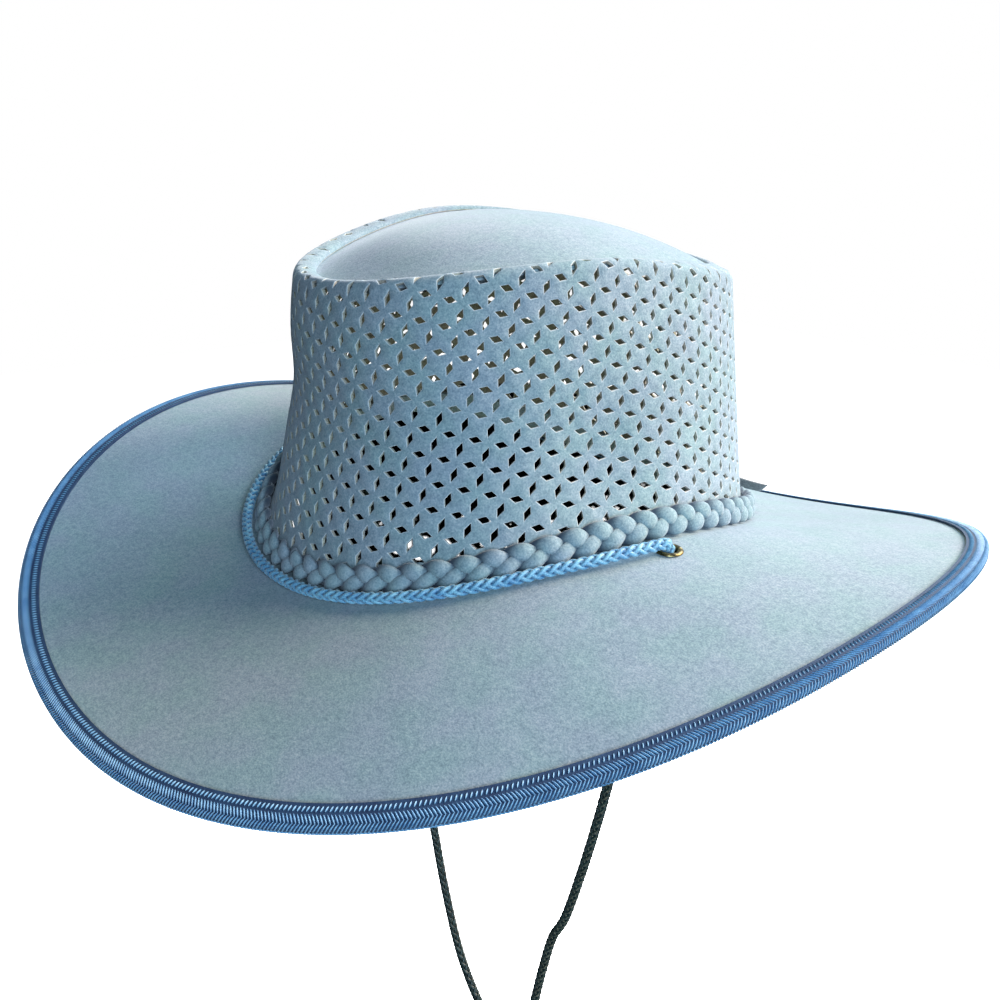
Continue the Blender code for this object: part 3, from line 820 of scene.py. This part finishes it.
def makeCrownTop():
    edge = crownSizes["foldRadius"] + clearance * 2
    rows = 46

    def place(angle, row):
        middle = Vector((0, crownSizes["backShift"], 0))
        share = 1 - row / (rows - 1)
        point = middle.lerp(rimOval(angle, edge), share)
        rim = (rimOval(angle, 0) - middle).length
        reach = (point - middle).length
        point.z = topHeight(angle, reach / rim) - lipFall(angle, rim - reach) - sheets["wall"] - clearance
        return point

    top = ringSheet("crownTop", 180, rows, place, pole=True)
    thicken(top, sheets["top"])
    baked(top)
    smooth(top.data)
    finishPiece(top, brimSuede, "suede", "crown_top")


makeCrownWall()
makeCrownTop()

print("brim")

brimRows = {"flat": 40, "collar": 5, "collarHeight": 0.0085, "collarBend": 0.0006}


def makeBrim():
    flat = brimRows["flat"]

    def insideWall(angle, share):
        return wallPoint(angle, share) - wallNormal(angle, share) * (sheets["wall"] + clearance)

    def place(angle, row):
        if row < flat:
            inset = (sheets["binding"] + clearance) / brimWidth(angle)
            return brimPoint(angle, (1 - inset) * (1 - row / (flat - 1)))
        if row == flat:
            point = headOval(angle, sheets["brim"] + brimRows["collarBend"])
            point.z = lineHeight(junctionLine, angle) + brimRows["collarBend"] * 0.2
            return point
        share = (row - flat - 1) / (brimRows["collar"] - 1)
        return insideWall(angle, share * brimRows["collarHeight"] / crownSizes["height"])

    brim = ringSheet("brimSheet", 360, flat + 1 + brimRows["collar"], place)
    thicken(brim, sheets["brim"])
    cutters = []
    for side in (1, -1):
        radius = eyeletSizes["bore"] / 2 + eyeletSizes["metal"] + clearance
        bm = bmesh.new()
        bmesh.ops.create_cone(bm, cap_ends=True, segments=48, radius1=radius, radius2=radius, depth=0.008)
        bmesh.ops.transform(bm, matrix=eyeletPlace(side)[1], verts=bm.verts)
        cutters.append(addObject(f"eyeletHole{side}", toMesh(bm, "eyeletHole")))
        cutOut(brim, cutters[-1])
    baked(brim)
    for cutter in cutters:
        bpy.data.objects.remove(cutter)
    smooth(brim.data)
    finishPiece(brim, brimSuede, "suede", "brim")


makeBrim()

print("binding")

bindingSizes = {"width": 0.0078, "ribPitch": 0.0012, "ribLean": 0.0020, "ribWidth": 0.00068,
                "ribHeight": 0.00042, "rowWidth": 0.0026, "stitchPitch": 0.0015, "stitchLength": 0.0017,
                "stitchWidth": 0.00060, "stitchHeight": 0.00045, "stitchLine": 0.0070, "stitchSlant": 78,
                "ribOverlap": 1.08}
bindingShell = sheets["binding"] + clearance
edgeRadius = sheets["brim"] / 2 + bindingShell


def bindingSheet(angle, across):  # across in metres from the outermost line, up over the brim or down under it
    turn = min(abs(across) / edgeRadius, pi / 2)
    inset = edgeRadius * (1 - cos(turn)) + max(0, abs(across) - edgeRadius * pi / 2)
    rise = -sheets["brim"] / 2 + edgeRadius * sin(turn) * (1 if across > 0 else -1)
    here, around, outwards, up = brimFrame(angle, 1 - inset / brimWidth(angle))
    return here + up * rise


bindingReach = edgeRadius * (pi / 2 - 1) + bindingSizes["width"]
bindingGuide = Guide(bindingSheet, -bindingReach - 0.0006, bindingReach + 0.0006, 61)


def pill(tree, length, width, height):  # a rounded bar with few faces, along X
    bar = geo(tree, "MeshCylinder", {"Vertices": 6, "Side Segments": 3, "Radius": 0.5, "Depth": 1.0})
    bar = placed(tree, bar.outputs["Mesh"], Rotation=(0, pi / 2, 0))
    spot = geo(tree, "InputPosition")
    x = add(tree, "ShaderNodeSeparateXYZ", {0: spot}).outputs[0]
    taper = minus(tree, 1, times(tree, times(tree, x, x), 2.6))
    slim = vector(tree, 1.0, taper, taper)
    shaped = add(tree, "ShaderNodeVectorMath", {0: spot, 1: slim}, operation="MULTIPLY")
    bar = geo(tree, "SetPosition", {"Geometry": bar, "Position": shaped})
    return placed(tree, bar, Scale=vector(tree, length, width, height))


def barRows(name, finish, rows, pitch, length, width, height, slant):  # each row is its line across and its side
    girth = bindingGuide.girth
    count = round(girth / pitch)
    pattern = Pattern(name, {"Count": count, "Pitch": girth / count, "Length": length, "Width": width,
                             "Height": height * 2, "Slant": slant})
    tree, given = pattern.tree, pattern.given
    bar = pill(tree, given["Length"], given["Width"], given["Height"])
    lines = []
    for across, slant in rows:
        line = geo(tree, "MeshLine", {
            "Count": given["Count"], "Start Location": (0, across, 0), "Offset": vector(tree, given["Pitch"])})
        turn = vector(tree, z=times(tree, given["Slant"], float(slant)))
        lines.append(geo(tree, "InstanceOnPoints", {"Points": line, "Instance": bar, "Rotation": turn}))
    pattern.close(joinAll(tree, lines))
    bars = pattern.grow(finish)
    setCoords(bars, bindingGuide.bend(coordsOf(bars)))
    piece = addObject(name, bars)
    smooth(bars, 60)
    finishPiece(piece, finish, "binding")


def makeBinding():
    b = bindingSizes
    rows = 41
    profile = np.linspace(-bindingReach, bindingReach, rows)

    def place(angle, row):
        return bindingSheet(angle, profile[row])

    binding = ringSheet("brimBinding", 540, rows, place)
    thicken(binding, sheets["binding"])
    baked(binding)
    smooth(binding.data, 60)
    finishPiece(binding, ribbonBase, "binding", "brim_binding")

    ribRows = [(b["rowWidth"] * k, 1 if k in (-1.5, 0.5) else -1) for k in (-1.5, -0.5, 0.5, 1.5)]
    length, slant = hypot(b["rowWidth"], b["ribLean"]) * b["ribOverlap"], atan2(b["rowWidth"], b["ribLean"])
    barRows("bindingRibs", ribbonRib, ribRows, b["ribPitch"], length, b["ribWidth"], b["ribHeight"], slant)
    stitchRows = [(b["stitchLine"], 1), (-b["stitchLine"], 1)]
    barRows("bindingStitches", stitchThread, stitchRows, b["stitchPitch"], b["stitchLength"], b["stitchWidth"],
            b["stitchHeight"], radians(b["stitchSlant"]))


makeBinding()

print("plaited band")

plait = {"Waves": 22, "Swing": 0.0026, "Weave": 0.0014, "Strand width": 0.0056, "Strand thickness": 0.0030,
         "Narrowest": 0.74, "Out": 0.0002, "Steps": 36, "Sides": 14}
# Where the painted shade between the thongs starts, and how far down it deepens.
plaitHollowShade = {"above": 0.0008, "depth": 0.0018}


def bandPoint(angle, up, out):  # beside the wall's foot: a height above the brim, a distance out
    outset = max(out, 0) / brimWidth(angle)
    base = brimPoint(angle, outset).z + clearance + up
    low, high = wallPoint(angle, 0).z, wallPoint(angle, 1).z
    share = max(0, (base - low) / (high - low))
    normal = wallNormal(angle, max(share, 0.02))
    normal.z = 0
    point = wallPoint(angle, share) + normal.normalized() * (clearance + out)
    point.z = base
    return point


bandGuide = Guide(lambda angle, up: bandPoint(angle, up, bandSizes["depth"] / 2), 0, bandSizes["height"], 13)


def makePlait():  # three thongs, each swinging across the band and over and under its neighbours
    sizes = {**plait, "Length": bandGuide.girth, "Middle": bandSizes["height"] * bandSizes["middle"]}
    pattern = Pattern("plaitedBand", sizes)
    tree, given = pattern.tree, pattern.given
    three = strandLines(tree, given["Length"], plus(tree, times(tree, given["Waves"], given["Steps"]), 1), 3)
    x = spotOf(tree)[0]
    phase = times(tree, ratio(tree, x, given["Length"]), given["Waves"])
    phase = plus(tree, phase, ratio(tree, three.outputs["Duplicate Index"], 3))
    phase = times(tree, phase, 2 * pi)
    across = times(tree, calc(tree, "SINE", phase), given["Swing"])
    across = plus(tree, across, given["Middle"])
    front = times(tree, calc(tree, "SINE", times(tree, phase, 2)), -1)
    over = plus(tree, times(tree, front, given["Weave"]), given["Out"])
    fat = add(tree, "ShaderNodeMapRange", {
        "Value": front, "From Min": -1.0, "To Min": given["Narrowest"], "To Max": 1.0})
    woven = geo(tree, "SetPosition", {"Geometry": three.outputs["Geometry"],
                                      "Position": vector(tree, x, across, over)})
    woven = geo(tree, "SetCurveNormal", {"Curve": woven}, mode="Z_UP")
    section = geo(tree, "CurvePrimitiveCircle", {"Resolution": given["Sides"], "Radius": 0.5})
    section = placed(tree, section.outputs["Curve"],
                     Scale=vector(tree, given["Strand width"], given["Strand thickness"], 1.0))
    pattern.close(geo(tree, "CurveToMesh", {"Curve": woven, "Profile Curve": section, "Scale": fat}))
    mesh = pattern.grow(plaitSuede)
    co = coordsOf(mesh)
    markHollowShade(mesh, (plait["Weave"] + plaitHollowShade["above"] - co[:, 2]) / plaitHollowShade["depth"])
    co[:, 0] = np.where(co[:, 0] > bandGuide.girth - 1e-7, co[:, 0] - bandGuide.girth, co[:, 0])
    setCoords(mesh, bandGuide.bend(co))
    weld(mesh)
    band = addObject("plaitedBand", mesh)
    smooth(mesh, 70)
    finishPiece(band, plaitSuede, "band", "plaited_band")


makePlait()

print("thong end")

tailSizes = {"length": 0.0222, "width": 0.0044, "thickness": 0.0020, "angle": 160, "lift": 0.0044, "fall": 0.0020,
             "bend": 0.46, "slant": 1.2}


def makeTail():
    t = tailSizes
    root = bandPoint(t["angle"], bandSizes["height"] * 0.75 + t["lift"], bandSizes["depth"] / 2)
    normal = wallNormal(t["angle"], 0.1)
    normal.z = 0
    normal.normalize()
    along = Vector((-normal.y, normal.x, 0)) * -1
    bm = bmesh.new()
    bmesh.ops.create_cube(bm, size=1)
    long = [e for e in bm.edges if abs((e.verts[0].co - e.verts[1].co).x) > 0.5]
    bmesh.ops.subdivide_edges(bm, edges=long, cuts=15)
    tall = [e for e in bm.edges if abs((e.verts[0].co - e.verts[1].co).z) > 0.5]
    bmesh.ops.subdivide_edges(bm, edges=tall, cuts=4)
    for v in bm.verts:
        share = v.co.x + 0.5
        bend = t["length"] * t["bend"] * share ** 2
        slant = t["width"] * t["slant"] * (v.co.z - 0.5) * share
        point = root + along * (t["length"] * share + slant) + normal * (v.co.y * t["thickness"] * 0.8 + bend)
        point.z += v.co.z * t["width"] - t["fall"] * share
        v.co = point
    bmesh.ops.recalc_face_normals(bm, faces=bm.faces)
    tail = addObject("bandTail", toMesh(bm, "bandTail"))
    soft = tail.modifiers.new("rounded", "BEVEL")
    soft.width, soft.segments, soft.limit_method = 0.0003, 2, "ANGLE"
    baked(tail)
    smooth(tail.data)
    finishPiece(tail, shadedTailSuede, "band", "band_tail")


makeTail()

print("eyelets")


def makeEyelet(side):
    e = eyeletSizes
    inner, outer = e["bore"] / 2, e["flange"] / 2
    seat = sheets["brim"] / 2 + 1.5 * clearance
    crest = seat + e["dome"]
    half = [(inner, seat - 0.0002)]
    for k in range(9):  # the rolled flange
        turn = pi * (1 - k / 8)
        middle, reach = (inner + outer) / 2, (outer - inner) / 2
        half.append((middle + reach * cos(turn), seat + (crest - seat) * sin(turn) ** 0.8))
    half += [(outer - 0.0001, seat - 0.0001), (inner + e["metal"], seat - 0.0001)]
    profile = half + [(r, -z) for r, z in reversed(half)]
    steps = 48
    bm = bmesh.new()
    rings = []
    for i in range(steps):
        turn = 2 * pi * i / steps
        rings.append([bm.verts.new((r * cos(turn), r * sin(turn), z)) for r, z in profile])
    for ring, following in zip(rings, rings[1:] + rings[:1]):
        for k in range(len(profile)):
            m = (k + 1) % len(profile)
            bm.faces.new((ring[k], ring[m], following[m], following[k]))
    bmesh.ops.recalc_face_normals(bm, faces=bm.faces)
    lowered = Matrix.Translation((0, 0, -sheets["brim"] / 2))
    bmesh.ops.transform(bm, matrix=eyeletPlace(side)[1] @ lowered, verts=bm.verts)
    name = "eyeletLeft" if side > 0 else "eyeletRight"
    mesh = toMesh(bm, name)
    smooth(mesh)
    finishPiece(addObject(name, mesh), agedBrass, "brass", "eyelet_left" if side > 0 else "eyelet_right")


makeEyelet(1)
makeEyelet(-1)

print("cords")

braid = {"Lay": 0.0150, "Ring": 0.00118, "Weave": 0.00028, "Strand": 0.00084, "Sides": 8}
# Where the painted shade between the cord's strands starts, and how far in it deepens.
cordHollowShade = {"from": 0.00205, "depth": 0.0007}
coreSizes = {"radius": 0.0012, "step": 0.002, "sides": 8}


def plaitedCord(name, route, stepLength, finish):  # four strands each way, over two and under two
    sizes = {**braid, "Length": route.length, "Steps": round(route.length / stepLength)}
    pattern = Pattern(name, sizes)
    tree, given = pattern.tree, pattern.given
    eight = strandLines(tree, given["Length"], given["Steps"], 8)
    which = eight.outputs["Duplicate Index"]
    way = minus(tree, 1, times(tree, calc(tree, "MODULO", which, 2), 2))
    start = times(tree, calc(tree, "FLOOR", ratio(tree, which, 2)), pi / 2)
    x = spotOf(tree)[0]
    turns = times(tree, ratio(tree, x, given["Lay"]), 2 * pi)
    angle = plus(tree, times(tree, turns, way), start)
    beat = minus(tree, times(tree, turns, 2), times(tree, way, pi / 4))
    beat = plus(tree, beat, times(tree, start, 2))
    over = times(tree, calc(tree, "COSINE", beat), way)
    radius = plus(tree, times(tree, over, given["Weave"]), given["Ring"])
    place = vector(tree, x, times(tree, radius, calc(tree, "COSINE", angle)),
                   times(tree, radius, calc(tree, "SINE", angle)))
    woven = geo(tree, "SetPosition", {"Geometry": eight.outputs["Geometry"], "Position": place})
    section = geo(tree, "CurvePrimitiveCircle", {"Resolution": given["Sides"], "Radius": given["Strand"]})
    pattern.close(geo(tree, "CurveToMesh", {"Curve": woven, "Profile Curve": section.outputs["Curve"],
                                            "Fill Caps": True}))
    mesh = pattern.grow(finish)
    co = coordsOf(mesh)
    markHollowShade(mesh, (cordHollowShade["from"] - np.hypot(co[:, 1], co[:, 2])) / cordHollowShade["depth"])
    setCoords(mesh, route.bend(co))
    smooth(mesh, 70)
    return addObject(name, mesh)


def addCore(cord, route, finish):  # a plain core that closes the plait's gaps; its near-black colour is painted shade inside the hollow braid
    radius, sides = coreSizes["radius"], coreSizes["sides"]
    count = round(route.length / coreSizes["step"])
    flat = np.array([(route.length * i / count, radius * cos(tau * k / sides),
                      radius * sin(tau * k / sides)) for i in range(count + 1) for k in range(sides)])
    faces = [(i * sides + k, (i + 1) * sides + k, (i + 1) * sides + (k + 1) % sides, i * sides + (k + 1) % sides)
             for i in range(count) for k in range(sides)]
    faces += [tuple(range(sides)), tuple(count * sides + k for k in reversed(range(sides)))]
    mesh = cord.data
    core = bpy.data.meshes.new("core")
    core.from_pydata([p[:] for p in route.bend(flat).tolist()], [], faces)
    core.shade_smooth()
    bm = fromMesh(core)
    bmesh.ops.recalc_face_normals(bm, faces=bm.faces)
    for face in bm.faces:
        face.material_index = 1
    bm.from_mesh(mesh)
    toMesh(bm, mesh).materials.append(finish)


frontRoute = Route(frontCordRoute())
frontCord = plaitedCord("frontCord", frontRoute, 0.0006, brightCord)
addCore(frontCord, frontRoute, gapShadeCore)
finishPiece(frontCord, None, "blue_cord", "front_cord")

chinLine = Route(chinRoute)
chinCord = plaitedCord("chinCord", chinLine, 0.0008, darkCord)
addCore(chinCord, chinLine, gapShadeCore)
finishPiece(chinCord, None, "dark_cord", "chin_cord")
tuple(chinRoute[0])

print("stage and light")

stageSizes = {"floor": -0.45, "side": 5.0, "lampAboveCamera": 0.10, "lampWatts": 260}
lights = [  # name, azimuth, elevation, distance, size, watts, colour
    ("key", 145, 33, 1.7, 0.9, 56, (1.0, 0.84, 0.68)),
    ("back", 185, 43, 1.7, 0.9, 26, (0.72, 0.80, 1.0)),
    ("front", 66, 17, 1.7, 0.9, 29, (0.62, 0.82, 1.0)),
    ("left", 220, 30, 1.7, 0.9, 11, (0.85, 1.0, 0.75)),
    ("under", 60, -60, 1.7, 0.9, 9, (0.95, 1.0, 0.75)),
]


def makeStage(s):
    bm = bmesh.new()
    bmesh.ops.create_grid(bm, x_segments=2, y_segments=2, size=s["side"] / 2)
    mesh = toMesh(bm, "floor")
    mesh.transform(Matrix.Translation((0, 0, s["floor"])))
    made, tree, shader = newFinish("pale floor")
    setLook(shader, Base_Color=(0.9, 0.9, 0.9, 1), Roughness=0.9)
    mesh.materials.append(made)
    floor = addObject("floor", mesh)
    floor.visible_diffuse = floor.visible_glossy = False
    floor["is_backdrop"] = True
    world = bpy.data.worlds.new("studio")
    world.use_nodes = True
    world.node_tree.nodes["Background"].inputs["Color"].default_value = (1, 1, 1, 1)
    world.node_tree.nodes["Background"].inputs["Strength"].default_value = 1.0
    bpy.context.scene.world = world
    world.cycles_visibility.diffuse = world.cycles_visibility.glossy = False


def groupOf(name, things):
    made = bpy.data.collections.new(name)
    bpy.context.scene.collection.children.link(made)
    for thing in things:
        made.objects.link(thing)
    return made


def makeFloorLamp(s):  # lights the floor alone, so that it stays evenly pale round the hat
    camera = bpy.context.scene.camera
    lamp = bpy.data.lights.new("floorLamp", "POINT")
    lamp.energy, lamp.shadow_soft_size = s["lampWatts"], 0.001
    lamp.use_nodes = True
    falloff = lamp.node_tree.nodes.new("ShaderNodeLightFalloff")
    falloff.inputs["Strength"].default_value = 1.0
    emission = next(node for node in lamp.node_tree.nodes if node.bl_idname == "ShaderNodeEmission")
    lamp.node_tree.links.new(falloff.outputs["Constant"], emission.inputs["Strength"])
    light = addObject("floorLamp", lamp)
    light.location = camera.matrix_world.translation + Vector((0, 0, s["lampAboveCamera"]))
    light.light_linking.receiver_collection = groupOf("floorOnly", [bpy.data.objects["floor"]])
    light.light_linking.blocker_collection = groupOf(
        "crownOnly", [bpy.data.objects[name] for name in ("crownWall", "crownTop", "plaitedBand")])


def makeLight(hatParts, name, azimuth, elevation, distance, size, watts, colour):
    lamp = bpy.data.lights.new(name, "AREA")
    lamp.shape, lamp.size, lamp.energy, lamp.color = "DISK", size, watts, colour
    back = directionOf(azimuth, elevation)
    light = addObject(name, lamp)
    light.matrix_world = Matrix.Translation(back * distance) @ back.to_track_quat("Z", "Y").to_matrix().to_4x4()
    light.light_linking.receiver_collection = hatParts
    light.light_linking.blocker_collection = hatParts


makeStage(stageSizes)
allParts = groupOf("hatParts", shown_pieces())
makeFloorLamp(stageSizes)
for light in lights:
    makeLight(allParts, *light)
bpy.context.scene.view_settings.view_transform = "Standard"
bpy.context.scene.view_settings.look = "None"

print("safari hat: done")
